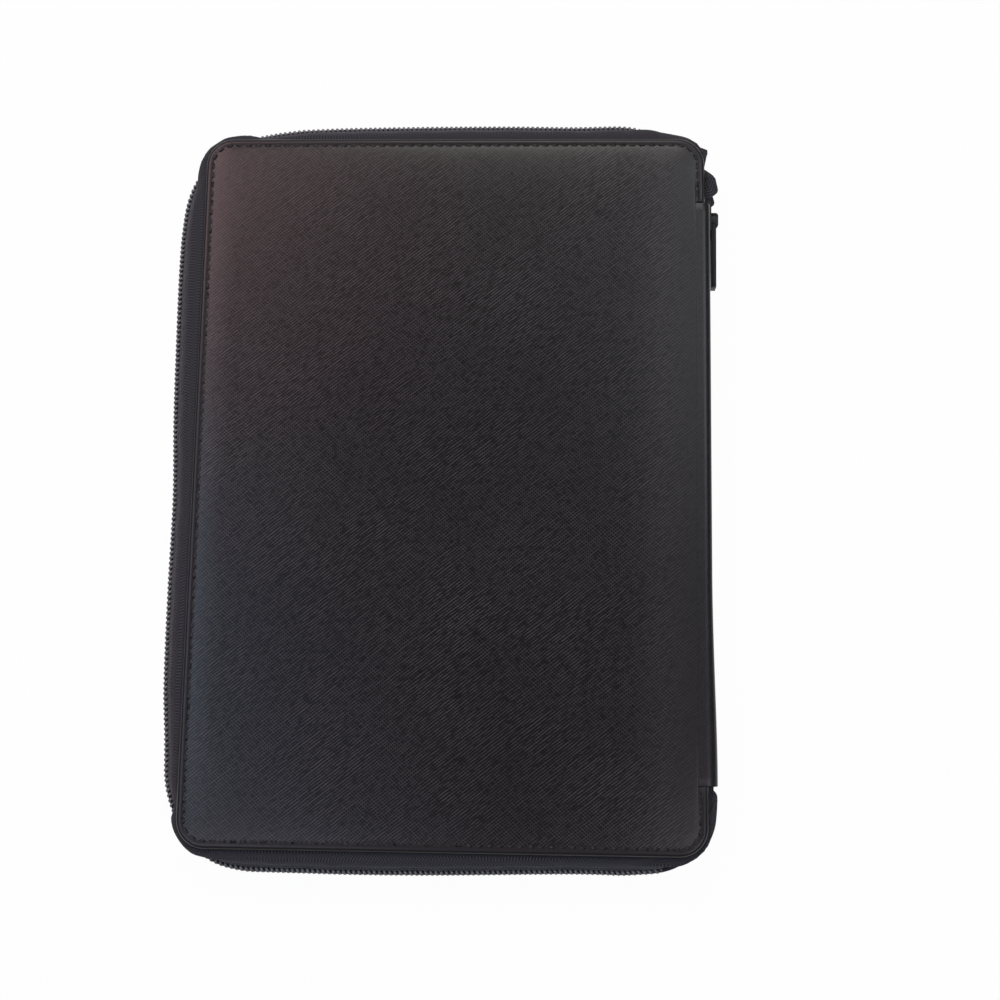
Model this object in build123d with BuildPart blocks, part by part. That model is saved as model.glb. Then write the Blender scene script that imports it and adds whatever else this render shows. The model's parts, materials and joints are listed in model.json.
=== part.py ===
# Zip-round padfolio of A5 size, closed and lying on its front cover.
# Frame: X across the covers with the spine at +X, Y along the spine, Z up from the table.
import os
from math import atan2, cos, degrees, radians, sin

from build123d import *

os.makedirs("parts", exist_ok=True)

# Notepad that the case is made for, and the room round it
sheet_width = 148.0
sheet_length = 210.0
pad_from_free_edge = 6.0
pad_from_flap_edge = 17.2
pad_end_margin = 15.0

# Covers
closed_thickness = 20.0
corner_radius = 9.5
skin = 0.9
foam = 0.7
board = 1.4
lining = 0.4
edge_bevel = 0.8
board_clearance = 0.15
lining_inset = 3.0
lining_corner_radius = 12.0
lining_gap = 0.25

# Spine and its two fold lines
spine_proud = 1.8
spine_end_gap = 23.2
fold_radius = 2.2
fold_clearance = 0.25
fold_allowance = 0.3
notch_gap = 0.4
spine_skin = 1.0
spine_board = 1.5
spine_board_end_gap = 40.0
spine_lining_end_gap = 33.5
tail_window_depth = 9.2

# Zip chain
coil_reach = 7.0
coil_depth = 2.0
coil_core = 2.0
coil_corner_radius = 32.0
coil_bow = 1.2
coil_pitch = 1.8
tooth_length = 1.6
tooth_depth = 1.5
tooth_width = 0.55
tooth_tip_gap = 0.2
tape = 0.7
zip_from_spine = 1.4
chain_start_angle = 22.5
tail = 0.8
tail_height = 10.4
tail_gap_angle = 1.0
tail_sewn_length = 6.0

# Slider and pull
slider_length = 11.0
slider_width = 8.8
slider_nose_width = 9.6
slider_plate = 1.0
slider_lip = 0.8
slider_lip_depth = 0.4
slider_clearance = 0.25
post_length = 3.2
post_width = 2.4
post_setback = 0.5
lip_start = 4.0
tail_slot_clearance = 0.5
crown_length = 5.0
crown_width = 2.4
crown_wall = 0.8
crown_round = 1.0
pin_diameter = 1.5
pin_clearance = 0.2
pull_length = 23.5
pull_width = 7.0
pull_tip_width = 5.0
pull_eye_length = 6.0
pull_eye_clearance = 0.35

# Inside pieces
sheet_stack = 4.6
backing = 1.0
binding = 0.3
binding_width = 12.0
layer_gap = 0.1
pocket_panel = 0.7
pocket_welt = 2.0
pocket_play = 0.5
pad_pocket_length = 150.0
document_pocket_gap = 0.8
document_margin = 7.0
pocket_spacing = 18.0
card_width = 90.0
card_pocket_length = 66.0
card_panel = 0.5
card_gap = 0.5
card_step = 12.0
card_rows = 3
card_end_margin = 14.0
card_edge_margin = 12.0
loop_width = 9.6
loop_height = 9.0
loop_length = 22.0
loop_wall = 1.0
loop_round = 3.0

# Places worked out from the sizes
cover_edge = skin + foam + board
inner_face = cover_edge + lining
mid_height = closed_thickness / 2
cover_width = pad_from_free_edge + sheet_width + pad_from_flap_edge
cover_height = sheet_length + 2 * pad_end_margin
half_height = cover_height / 2
plate_top = coil_depth / 2 + slider_clearance + slider_plate
pin_height = plate_top + pin_clearance + pin_diameter / 2
crown_top = pin_height + pin_diameter / 2 + pin_clearance + crown_wall
overall_width = (
    coil_reach + coil_depth / 2 + cover_width + spine_proud - zip_from_spine + crown_top
)
free_edge = coil_reach + coil_depth / 2 - overall_width / 2
flap_edge = free_edge + cover_width
spine_face = flap_edge + spine_proud
spine_half = half_height - spine_end_gap
fold_x = spine_face - fold_radius
panel_end = fold_x - fold_radius - fold_clearance - fold_allowance
cover_middle = free_edge + cover_width / 2

# Coil line: rounded corners joined by bowed sides
track_x = spine_face - zip_from_spine
corner_x = track_x - coil_corner_radius
free_corner_x = free_edge - coil_reach + coil_bow + coil_corner_radius
corner_y = half_height + coil_reach - coil_bow - coil_corner_radius

mid_plane = Plane.XY.offset(mid_height)


def save(piece, name):
    piece.part.label = name
    export_step(piece.part, f"parts/{name}.step")


def arc_end(arc, share):
    (x, y), radius, start, sweep = arc
    angle = radians(start + share * sweep)
    return (x + radius * cos(angle), y + radius * sin(angle))


def bowed_side(half_span):
    # Circle that touches two corner arcs and bows out by coil_bow between them
    drop = (half_span**2 - coil_bow**2) / (2 * coil_bow)
    return drop, coil_corner_radius + drop + coil_bow, degrees(atan2(half_span, drop))


def coil_arcs(offset_out):
    # Coil line from the spine's top corner round to its bottom corner
    end_drop, end_radius, end_lean = bowed_side((corner_x - free_corner_x) / 2)
    side_drop, side_radius, side_lean = bowed_side(corner_y)
    middle = (corner_x + free_corner_x) / 2
    corner = coil_corner_radius + offset_out
    spine_sweep = 90 - end_lean - chain_start_angle
    free_sweep = 90 - end_lean - side_lean
    return [
        ((corner_x, corner_y), corner, chain_start_angle, spine_sweep),
        ((middle, corner_y - end_drop), end_radius + offset_out, 90 - end_lean, 2 * end_lean),
        ((free_corner_x, corner_y), corner, 90 + end_lean, free_sweep),
        ((free_corner_x + side_drop, 0), side_radius + offset_out, 180 - side_lean, 2 * side_lean),
        ((free_corner_x, -corner_y), corner, 180 + side_lean, free_sweep),
        ((middle, end_drop - corner_y), end_radius + offset_out, 270 - end_lean, 2 * end_lean),
        ((corner_x, -corner_y), corner, 270 + end_lean, spine_sweep),
    ]


def strip_edges(outer, inner):
    # Edges of a flat strip between two arcs about the same centre
    CenterArc(*outer)
    CenterArc(*inner)
    Line(arc_end(outer, 0), arc_end(inner, 0))
    Line(arc_end(outer, 1), arc_end(inner, 1))


def coil_edges(offset_out):
    # Edges of the area inside the coil line, closed straight across on the spine side
    arcs = coil_arcs(offset_out)
    for arc in arcs:
        CenterArc(*arc)
    Line(arc_end(arcs[0], 0), arc_end(arcs[-1], 1))


def cut_recess(end, inset):
    # Long recess for the spine and its folds
    with Locations((end, 0)):
        Rectangle(
            cover_width,
            2 * (spine_half + notch_gap + inset),
            align=(Align.MIN, Align.CENTER),
            mode=Mode.SUBTRACT,
        )


def cover_outline(inset):
    # Cover seen from above
    with Locations((cover_middle, 0)):
        RectangleRounded(cover_width - 2 * inset, cover_height - 2 * inset, corner_radius - inset)
    cut_recess(fold_x, inset)


def make_skin():
    # Covering turned over the board's edge, with a hollow end that the fold turns in
    with BuildPart() as piece:
        with BuildSketch():
            cover_outline(0)
        extrude(amount=cover_edge)
        chamfer(piece.faces().sort_by(Axis.Z)[0].edges(), edge_bevel)
        with BuildSketch(Plane.XY.offset(skin)):
            cover_outline(skin)
        extrude(amount=board + foam, mode=Mode.SUBTRACT)
        with BuildSketch(Plane.XZ.offset(-spine_half - notch_gap)):
            with Locations((fold_x, fold_radius)):
                Circle(fold_radius + fold_clearance)
        extrude(amount=2 * (spine_half + notch_gap), mode=Mode.SUBTRACT)
    return piece


def make_layer(height, thickness):
    # Flat layer inside the covering, its corners clipped so that the covering turns over them
    inset = skin + board_clearance
    with BuildPart() as piece:
        with BuildSketch(Plane.XY.offset(height)) as layer:
            with Locations((cover_middle, 0)):
                Rectangle(cover_width - 2 * inset, cover_height - 2 * inset)
            chamfer(layer.vertices(), corner_radius)
            cut_recess(panel_end, inset)
        extrude(amount=thickness)
    return piece


def make_tape():
    # Tape lying on the cover's edge and turned up to the coil, left open across the spine
    seam_inset = lining_inset - lining_gap
    chain_end = arc_end(coil_arcs(tape / 2)[0], 0)[1]
    with BuildPart() as piece:
        with BuildSketch(Plane.XY.offset(cover_edge)):
            with BuildLine():
                coil_edges(tape / 2)
            make_face()
        extrude(amount=core_low - cover_edge)
        with BuildSketch(Plane.XY.offset(cover_edge + tape)):
            with BuildLine():
                coil_edges(-tape / 2)
            make_face()
        extrude(amount=core_low, mode=Mode.SUBTRACT)
        with BuildSketch(Plane.XY.offset(cover_edge)):
            with Locations((cover_middle, 0)):
                RectangleRounded(
                    cover_width - 2 * seam_inset,
                    cover_height - 2 * seam_inset,
                    lining_corner_radius + lining_gap,
                )
            with Locations((corner_x, 0)):
                Rectangle(cover_width, 2 * chain_end, align=(Align.MIN, Align.CENTER))
        extrude(amount=coil_reach, mode=Mode.SUBTRACT)
    return piece


def tooth_rows(phase):
    # Evenly spaced places along each arc of the coil line, each turned to face outwards
    arcs = coil_arcs(0)
    chain_length = sum(radius * radians(sweep) for _, radius, _, sweep in arcs)
    count = int(chain_length / coil_pitch)
    rows = []
    passed = 0.0
    for (x, y), radius, start, sweep in arcs:
        run = radius * radians(sweep)
        row = []
        for number in range(count):
            along = (number + phase) * chain_length / count - passed
            if 0 <= along < run:
                angle = radians(start) + along / radius
                spot = (x + radius * cos(angle), y + radius * sin(angle))
                row.append(Location(spot, degrees(angle)))
        rows.append(row)
        passed += run
    return rows


def make_coil(core_start):
    # Core of the coil with the row of loops that mesh with the other half
    half_depth = coil_depth / 2
    runs = []
    for outer, inner, row in zip(coil_arcs(half_depth), coil_arcs(-half_depth), tooth_rows(1 / 4)):
        with BuildPart() as run:
            with BuildSketch(Plane.XY.offset(core_start)):
                with BuildLine():
                    strip_edges(outer, inner)
                make_face()
            extrude(amount=coil_core)
            with BuildSketch(Plane.XY.offset(core_start + coil_core)):
                with Locations(*row):
                    Polygon(
                        (-tooth_depth / 2, -tooth_width / 2),
                        (tooth_depth / 2, 0),
                        (-tooth_depth / 2, tooth_width / 2),
                        align=None,
                    )
            extrude(amount=tooth_length, clean=False)
        runs.append(run.part)
    with BuildPart() as piece:
        add(runs, clean=False)
    return piece


def mirrored(piece, about):
    with BuildPart() as copy:
        mirror(piece.part, about=about)
    return copy


# Zip heights: two cores with a meshing band between them
core_gap = tooth_length + tooth_tip_gap
core_low = mid_height - core_gap / 2 - coil_core

front_skin = make_skin()
save(front_skin, "front_skin")
save(mirrored(front_skin, mid_plane), "back_skin")

front_foam = make_layer(skin, foam)
save(front_foam, "front_foam")
save(mirrored(front_foam, mid_plane), "back_foam")

front_board = make_layer(skin + foam, board)
save(front_board, "front_board")
save(mirrored(front_board, mid_plane), "back_board")

with BuildPart() as front_lining:
    with BuildSketch(Plane.XY.offset(cover_edge)):
        with Locations((cover_middle, 0)):
            RectangleRounded(
                cover_width - 2 * lining_inset,
                cover_height - 2 * lining_inset,
                lining_corner_radius,
            )
        cut_recess(panel_end, lining_inset)
    extrude(amount=lining)
save(front_lining, "front_lining")
save(mirrored(front_lining, mid_plane), "back_lining")

front_tape = make_tape()
save(front_tape, "front_zip_tape")
save(mirrored(front_tape, mid_plane), "back_zip_tape")

# The other half of the chain is the same coil turned over, which puts its loops between these
front_coil = make_coil(core_low)
save(front_coil, "front_zip_coil")
with BuildPart() as back_coil:
    add(front_coil.part.rotate(Axis((0, 0, mid_height), (1, 0, 0)), 180))
save(back_coil, "back_zip_coil")

# Spine covering: a flat face between two rolled edges, cut back at both ends for the zip tails
flat_height = closed_thickness - 4 * fold_radius - 2 * board_clearance
with BuildPart() as spine_cover:
    with BuildSketch(Plane.XZ.offset(-spine_half)):
        with Locations((fold_x, fold_radius), (fold_x, closed_thickness - fold_radius)):
            Circle(fold_radius)
        with Locations((spine_face, mid_height)):
            Rectangle(spine_skin, closed_thickness - 2 * fold_radius, align=(Align.MAX, Align.CENTER))
    extrude(amount=2 * spine_half)
    with Locations((spine_face, spine_half, mid_height), (spine_face, -spine_half, mid_height)):
        Box(3 * spine_skin, 2 * tail_window_depth, flat_height, mode=Mode.SUBTRACT)
save(spine_cover, "spine_skin")

spine_inside = spine_face - spine_skin
with BuildPart() as spine_stiffener:
    with BuildSketch(Plane.YZ.offset(spine_inside)):
        with Locations((0, mid_height)):
            Rectangle(cover_height - 2 * spine_board_end_gap, flat_height)
    extrude(amount=-spine_board)
save(spine_stiffener, "spine_board")

with BuildPart() as spine_inner:
    with BuildSketch(Plane.YZ.offset(spine_inside - spine_board)):
        with Locations((0, mid_height)):
            Rectangle(cover_height - 2 * spine_lining_end_gap, flat_height)
    extrude(amount=-lining)
save(spine_inner, "spine_lining")

# Slider sizes that the tails leave room for
slider_nose = corner_y - slider_length / 2
slider_rear = corner_y + slider_length / 2
slider_sag = (slider_length / 2) ** 2 / (2 * coil_corner_radius)
channel_out = track_x + coil_depth / 2 + slider_clearance
channel_in = track_x - coil_depth / 2 - slider_sag - slider_clearance

# Zip tails: sewn behind the spine covering, forked so that the slider's post can pass
tail_sweep = chain_start_angle - tail_gap_angle
tail_start = spine_half - tail_window_depth - tail_sewn_length
with BuildPart() as top_tail:
    with BuildSketch(Plane.XY.offset(mid_height - tail_height / 2)):
        with BuildLine():
            for side in (tail / 2, -tail / 2):
                CenterArc((corner_x, corner_y), coil_corner_radius + side, 0, tail_sweep)
                Line((track_x + side, tail_start), (track_x + side, corner_y))
            Line((track_x - tail / 2, tail_start), (track_x + tail / 2, tail_start))
            tail_outer = ((corner_x, corner_y), coil_corner_radius + tail / 2, 0, tail_sweep)
            tail_inner = ((corner_x, corner_y), coil_corner_radius - tail / 2, 0, tail_sweep)
            Line(arc_end(tail_outer, 1), arc_end(tail_inner, 1))
        make_face()
    extrude(amount=tail_height)
    with Locations((track_x, slider_nose, mid_height)):
        Box(
            coil_corner_radius,
            coil_corner_radius,
            post_width + 2 * tail_slot_clearance,
            align=(Align.CENTER, Align.MIN, Align.CENTER),
            mode=Mode.SUBTRACT,
        )
save(top_tail, "top_zip_tail")
save(mirrored(top_tail, Plane.XZ), "bottom_zip_tail")

# Slider: two plates with tape lips, joined by the post that parts the teeth
with BuildPart() as slider:
    for wall, outward in ((channel_out, 1), (channel_in, -1)):
        with BuildSketch(Plane.YZ.offset(wall)) as plate:
            with BuildLine():
                Polyline(
                    (slider_nose, mid_height - slider_nose_width / 2),
                    (slider_rear, mid_height - slider_width / 2),
                    (slider_rear, mid_height + slider_width / 2),
                    (slider_nose, mid_height + slider_nose_width / 2),
                    close=True,
                )
            make_face()
            fillet(plate.vertices(), slider_plate)
        extrude(amount=outward * slider_plate)
        with BuildSketch(Plane.YZ.offset(wall)):
            lip_offset = (slider_width - slider_lip) / 2
            lip_length = slider_length - lip_start - slider_plate
            with Locations((slider_nose + lip_start, mid_height)):
                with Locations((0, lip_offset), (0, -lip_offset)):
                    Rectangle(lip_length, slider_lip, align=(Align.MIN, Align.CENTER))
        extrude(amount=-outward * slider_lip_depth)
    with BuildSketch(Plane.YZ.offset(channel_in)):
        with Locations((slider_nose + post_setback, mid_height)):
            Rectangle(post_length, post_width, align=(Align.MIN, Align.CENTER))
    extrude(amount=channel_out - channel_in)
save(slider, "slider_body")

# Crown: the arch on the slider's outer plate that holds the pull's pin
crown_start = corner_y - crown_length / 2
plate_face = channel_out + slider_plate
pin_room = pin_diameter + 2 * pin_clearance
with BuildPart() as crown:
    with BuildSketch(Plane.XY.offset(mid_height - crown_width / 2)) as arch:
        with Locations((plate_face, crown_start)):
            Rectangle(pin_room + crown_wall, crown_length, align=(Align.MIN, Align.MIN))
            fillet(arch.vertices().group_by(Axis.X)[-1], crown_round)
        with Locations((plate_face, crown_start + crown_wall)):
            Rectangle(
                pin_room,
                crown_length - 2 * crown_wall,
                align=(Align.MIN, Align.MIN),
                mode=Mode.SUBTRACT,
            )
    extrude(amount=crown_width)
save(crown, "slider_crown")

# Pull: a flat tab whose eye goes round the crown, on a round pin under it
pivot_x = plate_face + pin_clearance + pin_diameter / 2
pivot_y = crown_start + crown_wall + pin_clearance + pin_diameter / 2
with BuildPart() as pull:
    with BuildSketch(Plane.YZ.offset(pivot_x - pin_diameter / 2)) as tab:
        with BuildLine():
            Polyline(
                (pivot_y, mid_height - pull_width / 2),
                (pivot_y, mid_height + pull_width / 2),
                (pivot_y - pull_length, mid_height + pull_tip_width / 2),
                (pivot_y - pull_length, mid_height - pull_tip_width / 2),
                close=True,
            )
        make_face()
        fillet(tab.vertices().group_by(Axis.Y)[0], pull_tip_width / 3)
        with Locations((pivot_y, mid_height)):
            Rectangle(
                pull_eye_length,
                crown_width + 2 * pull_eye_clearance,
                align=(Align.MAX, Align.CENTER),
                mode=Mode.SUBTRACT,
            )
    extrude(amount=pin_diameter)
    with BuildSketch(Plane.XY.offset(mid_height - pull_width / 2)):
        with Locations((pivot_x, pivot_y)):
            Circle(pin_diameter / 2)
    extrude(amount=pull_width)
save(pull, "pull_tab")


def make_pocket(low_corner, size, base, gap, panel, upward):
    # Panel sewn down along three sides by its welt, open at the top
    width, length = size
    with BuildPart() as piece:
        with BuildSketch(Plane.XY.offset(base)):
            with Locations(low_corner):
                Rectangle(width, length, align=(Align.MIN, Align.MIN))
        extrude(amount=upward * (gap + panel))
        with BuildSketch(Plane.XY.offset(base)):
            with Locations((low_corner[0] + pocket_welt, low_corner[1] + pocket_welt)):
                Rectangle(width - 2 * pocket_welt, length, align=(Align.MIN, Align.MIN))
        extrude(amount=upward * gap, mode=Mode.SUBTRACT)
    return piece


# Front cover's pockets
document_left = free_edge + document_margin
document_pocket_end = half_height - card_end_margin - card_pocket_length - pocket_spacing
document_pocket_length = document_pocket_end + half_height - document_margin
document_pocket = make_pocket(
    (document_left, document_margin - half_height),
    (panel_end - document_margin - document_left, document_pocket_length),
    inner_face,
    document_pocket_gap,
    pocket_panel,
    1,
)
save(document_pocket, "document_pocket")

for row in range(card_rows):
    card_pocket = make_pocket(
        (free_edge + card_edge_margin, half_height - card_end_margin - card_pocket_length),
        (card_width + 2 * (pocket_play + pocket_welt), card_pocket_length - row * card_step),
        inner_face + row * (card_gap + card_panel),
        card_gap,
        card_panel,
        1,
    )
    save(card_pocket, f"card_pocket_{row + 1}")

# Back cover's notepad: its backing slides into the pad pocket and its sheets lie on the panel
ceiling = closed_thickness - inner_face
pad_left = free_edge + pad_from_free_edge
pad_gap = backing + 2 * layer_gap
pad_side = pocket_play + pocket_welt
pad_pocket = make_pocket(
    (pad_left - pad_side, -sheet_length / 2 - pad_side),
    (sheet_width + 2 * pad_side, pad_pocket_length),
    ceiling,
    pad_gap,
    pocket_panel,
    -1,
)
save(pad_pocket, "pad_pocket")

pad_middle = pad_left + sheet_width / 2
with BuildPart() as notepad_backing:
    with BuildSketch(Plane.XY.offset(ceiling - layer_gap)):
        with Locations((pad_middle, 0)):
            Rectangle(sheet_width, sheet_length)
    extrude(amount=-backing)
save(notepad_backing, "notepad_backing")

sheets_top = ceiling - pad_gap - pocket_panel - layer_gap
with BuildPart() as notepad_sheets:
    with BuildSketch(Plane.XY.offset(sheets_top)):
        with Locations((pad_middle, 0)):
            Rectangle(sheet_width, sheet_length)
    extrude(amount=-sheet_stack)
save(notepad_sheets, "notepad_sheets")

# Binding: tape over the head of the sheets, down to the backing
sheets_face = sheets_top - sheet_stack
head = sheet_length / 2
with BuildPart() as notepad_binding:
    with BuildSketch(Plane.YZ.offset(pad_left)):
        with BuildLine():
            Polyline(
                (head - binding_width, sheets_face),
                (head - binding_width, sheets_face - binding),
                (head + binding, sheets_face - binding),
                (head + binding, ceiling - layer_gap),
                (head, ceiling - layer_gap),
                (head, sheets_face),
                close=True,
            )
        make_face()
    extrude(amount=sheet_width)
save(notepad_binding, "notepad_binding")

# Pen loop: a flat elastic tube on the back lining, between the pad and the spine
pocket_end = pad_left + sheet_width + pad_side
with BuildPart() as pen_loop:
    with BuildSketch(Plane.XZ.offset(-loop_length / 2)):
        with Locations(((pocket_end + panel_end) / 2, ceiling - loop_height / 2)):
            RectangleRounded(loop_width, loop_height, loop_round)
            RectangleRounded(
                loop_width - 2 * loop_wall,
                loop_height - 2 * loop_wall,
                loop_round - loop_wall,
                mode=Mode.SUBTRACT,
            )
    extrude(amount=loop_length)
save(pen_loop, "pen_loop")
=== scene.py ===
import json
from math import atan2, cos, pi, radians, sin

import bmesh
import bpy
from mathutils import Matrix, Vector

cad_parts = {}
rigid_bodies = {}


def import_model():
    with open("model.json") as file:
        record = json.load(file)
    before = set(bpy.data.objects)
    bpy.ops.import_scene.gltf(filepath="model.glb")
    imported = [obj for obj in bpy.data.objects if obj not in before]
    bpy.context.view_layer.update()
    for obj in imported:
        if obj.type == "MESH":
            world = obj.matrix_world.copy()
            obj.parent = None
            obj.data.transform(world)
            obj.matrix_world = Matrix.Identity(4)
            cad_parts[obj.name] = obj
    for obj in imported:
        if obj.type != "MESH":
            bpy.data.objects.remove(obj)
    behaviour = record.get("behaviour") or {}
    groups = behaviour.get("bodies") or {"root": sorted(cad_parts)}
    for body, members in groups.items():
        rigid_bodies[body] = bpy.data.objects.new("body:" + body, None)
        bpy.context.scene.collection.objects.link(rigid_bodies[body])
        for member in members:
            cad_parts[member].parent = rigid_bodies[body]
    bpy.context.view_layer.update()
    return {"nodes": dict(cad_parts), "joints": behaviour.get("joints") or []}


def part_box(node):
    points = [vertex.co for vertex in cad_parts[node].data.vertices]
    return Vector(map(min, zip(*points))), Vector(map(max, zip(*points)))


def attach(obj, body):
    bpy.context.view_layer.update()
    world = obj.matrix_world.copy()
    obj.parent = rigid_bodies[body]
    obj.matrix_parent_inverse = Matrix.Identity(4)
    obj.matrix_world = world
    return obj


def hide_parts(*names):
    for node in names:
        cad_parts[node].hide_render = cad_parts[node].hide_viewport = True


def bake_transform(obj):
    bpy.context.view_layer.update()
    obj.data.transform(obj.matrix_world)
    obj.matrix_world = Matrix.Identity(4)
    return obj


bpy.ops.object.select_all(action="SELECT")
bpy.ops.object.delete()
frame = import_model()
joints = {joint["name"]: joint for joint in frame["joints"]}
mm = 0.001
print("frame loaded")

# Places read from the frame, in metres
skinLow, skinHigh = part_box("back_skin")
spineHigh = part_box("spine_skin")[1]
freeEdge, flapEdge, halfHeight = skinLow.x, skinHigh.x, skinHigh.y
spineFace, spineHalf = spineHigh.x, spineHigh.y
thickness = skinHigh.z
midHeight = thickness / 2
coverEdge = thickness - skinLow.z
backFold = Vector(joints["back_fold"]["pos_m"])
frontFold = Vector(joints["front_fold"]["pos_m"])
foldRadius = thickness - backFold.z
foldArc = foldRadius * pi / 2
zipCorner = Vector(joints["slider_travel"]["pos_m"])

# Sizes that the patterns on the materials share with the pieces
cornerRadius = 9.5 * mm
stitchInset = 2.6 * mm
sheetPitch = 0.1 * mm


def deselectAll():
    bpy.ops.object.select_all(action="DESELECT")


def startEdit(piece):
    bpy.context.view_layer.objects.active = piece
    bpy.ops.object.mode_set(mode="EDIT")


def endEdit():
    bpy.ops.object.mode_set(mode="OBJECT")


def addObject(name, data):
    piece = bpy.data.objects.new(name, data)
    bpy.context.scene.collection.objects.link(piece)
    return piece


def addBlock(name, low, high):
    deselectAll()
    low, high = Vector(low), Vector(high)
    bpy.ops.mesh.primitive_cube_add(size=1, location=(low + high) / 2)
    block = bpy.context.object
    block.name = name
    block.scale = high - low
    bpy.ops.object.transform_apply(location=True, rotation=True, scale=True)
    return block


def addGrid(name, columns, rows, place):
    # A grid whose points go where place(u, v) says, with u and v from 0 to 1
    deselectAll()
    bpy.ops.mesh.primitive_grid_add(x_subdivisions=columns, y_subdivisions=rows, size=1)
    grid = bpy.context.object
    grid.name = name
    for vertex in grid.data.vertices:
        vertex.co = place(vertex.co.x + 0.5, vertex.co.y + 0.5)
    return grid


def pick(piece, kind, wanted):
    # Goes into edit mode with only the wanted edges or faces selected
    startEdit(piece)
    bpy.ops.mesh.select_mode(type=kind)
    bpy.ops.mesh.select_all(action="DESELECT")
    work = bmesh.from_edit_mesh(piece.data)
    for part in work.edges if kind == "EDGE" else work.faces:
        part.select_set(wanted(part))
    bmesh.update_edit_mesh(piece.data)


def deleteFaces(piece, wanted):
    pick(piece, "FACE", lambda face: wanted(face.calc_center_median(), face.normal))
    bpy.ops.mesh.delete(type="FACE")
    endEdit()


def roundEdges(piece, wanted, width, steps):
    pick(piece, "EDGE", lambda edge: wanted(*[vertex.co for vertex in edge.verts]))
    bpy.ops.mesh.bevel(offset=width, segments=steps, profile=0.5, affect="EDGES")
    endEdit()


def useModifier(piece, kind, **settings):
    bpy.context.view_layer.objects.active = piece
    modifier = piece.modifiers.new(kind.lower(), kind)
    for name, value in settings.items():
        setattr(modifier, name, value)
    bpy.ops.object.modifier_apply(modifier=modifier.name)


closeEnough = 0.02 * mm


def near(a, b):
    return abs(a - b) < closeEnough


def repeat(piece, step, **settings):
    useModifier(
        piece,
        "ARRAY",
        use_relative_offset=False,
        use_constant_offset=True,
        constant_offset_displace=step,
        **settings,
    )


def cutOut(piece, low, high):
    cutter = addBlock("cutter", low, high)
    useModifier(piece, "BOOLEAN", operation="DIFFERENCE", solver="EXACT", object=cutter)
    bpy.data.objects.remove(cutter)


def outwards(piece):
    startEdit(piece)
    bpy.ops.mesh.select_all(action="SELECT")
    bpy.ops.mesh.remove_doubles(threshold=0.001 * mm)
    bpy.ops.mesh.normals_make_consistent(inside=False)
    endEdit()


def finishPiece(piece, material, body, replaced=(), angle=40):
    # Smooth shading, material, body and the CAD nodes that the piece stands for
    deselectAll()
    piece.select_set(True)
    bpy.context.view_layer.objects.active = piece
    bpy.ops.object.shade_smooth_by_angle(angle=radians(angle))
    piece.data.materials.clear()
    piece.data.materials.append(material)
    if body:
        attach(piece, body)
    if replaced:
        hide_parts(*replaced)


def blendToCover(piece, up, spineEnd, coverEnd):
    # Bakes the piece's place into its mesh; it does not bend the piece between the spine and the cover above
    # or below it
    ends = [("spine", spineEnd), ("back_cover" if up > 0 else "front_cover", coverEnd)]
    first, last = ends if up > 0 else ends[::-1]
    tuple(first[1])
    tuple(last[1])
    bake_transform(piece)


def mapFlat(piece, unroll):
    # UV map in metres, from each point's place on the flat material
    layer = piece.data.uv_layers.get("flat") or piece.data.uv_layers.new(name="flat")
    for loop in piece.data.loops:
        layer.data[loop.index].uv = unroll(piece.data.vertices[loop.vertex_index].co)


class Wire:
    # A shader socket: sums on wires add Math nodes, and node() adds any other kind
    def __init__(self, tree, socket=None):
        self.tree = tree
        self.socket = socket

    def node(self, kind, settings={}, sockets={}, out=0):
        made = self.tree.nodes.new("ShaderNode" + kind)
        for name, value in settings.items():
            setattr(made, name, value)
        for name, value in sockets.items():
            if isinstance(value, Wire):
                self.tree.links.new(value.socket, made.inputs[name])
            else:
                made.inputs[name].default_value = value
        return Wire(self.tree, made.outputs[out])

    def sum(self, operation, *values):
        return self.node("Math", {"operation": operation}, dict(enumerate(values)))

    def __add__(self, other):
        return self.sum("ADD", self, other)

    def __radd__(self, other):
        return self.sum("ADD", other, self)

    def __sub__(self, other):
        return self.sum("SUBTRACT", self, other)

    def __rsub__(self, other):
        return self.sum("SUBTRACT", other, self)

    def __mul__(self, other):
        return self.sum("MULTIPLY", self, other)

    def __rmul__(self, other):
        return self.sum("MULTIPLY", other, self)

    def __abs__(self):
        return self.sum("ABSOLUTE", self)

    def wave(self):
        return self.sum("SINE", self)

    def most(self, other):
        return self.sum("MAXIMUM", self, other)

    def least(self, other):
        return self.sum("MINIMUM", self, other)

    def rise(self, low, high):
        # 0 below low, 1 above high, smooth between
        return self.node(
            "MapRange",
            {"interpolation_type": "SMOOTHSTEP"},
            {"Value": self, "From Min": low, "From Max": high},
        )

    def blend(self, low, high):
        # Colour from low to high as this goes from 0 to 1
        return self.node(
            "Mix",
            {"data_type": "RGBA"},
            {0: self, 6: low if isinstance(low, Wire) else (*low, 1), 7: (*high, 1)},
            out=2,
        )

    def turned(self, turn, size):
        # These coordinates turned by turn and measured in units of size
        return self.node(
            "Mapping",
            {"vector_type": "TEXTURE"},
            {"Vector": self, "Rotation": (0, 0, turn), "Scale": (size[0], size[1], size[-1])},
        )

    def spot(self):
        return self.node("TexCoord", out=3)

    def flatMap(self):
        return self.node("UVMap", {"uv_map": "flat"})

    def parts(self):
        split = self.node("SeparateXYZ", {}, {0: self}).socket.node
        return [Wire(self.tree, socket) for socket in split.outputs]

    def noise(self, detail=2.0, roughness=0.5, scale=1.0):
        return self.node(
            "TexNoise", {}, {"Vector": self, "Scale": scale, "Detail": detail, "Roughness": roughness}
        )

    def mottle(self, size, detail=2.0, roughness=0.5, turn=0.0):
        # Noise whose flecks are about as large as size
        return self.turned(turn, (size, size)).noise(detail, roughness)


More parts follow.
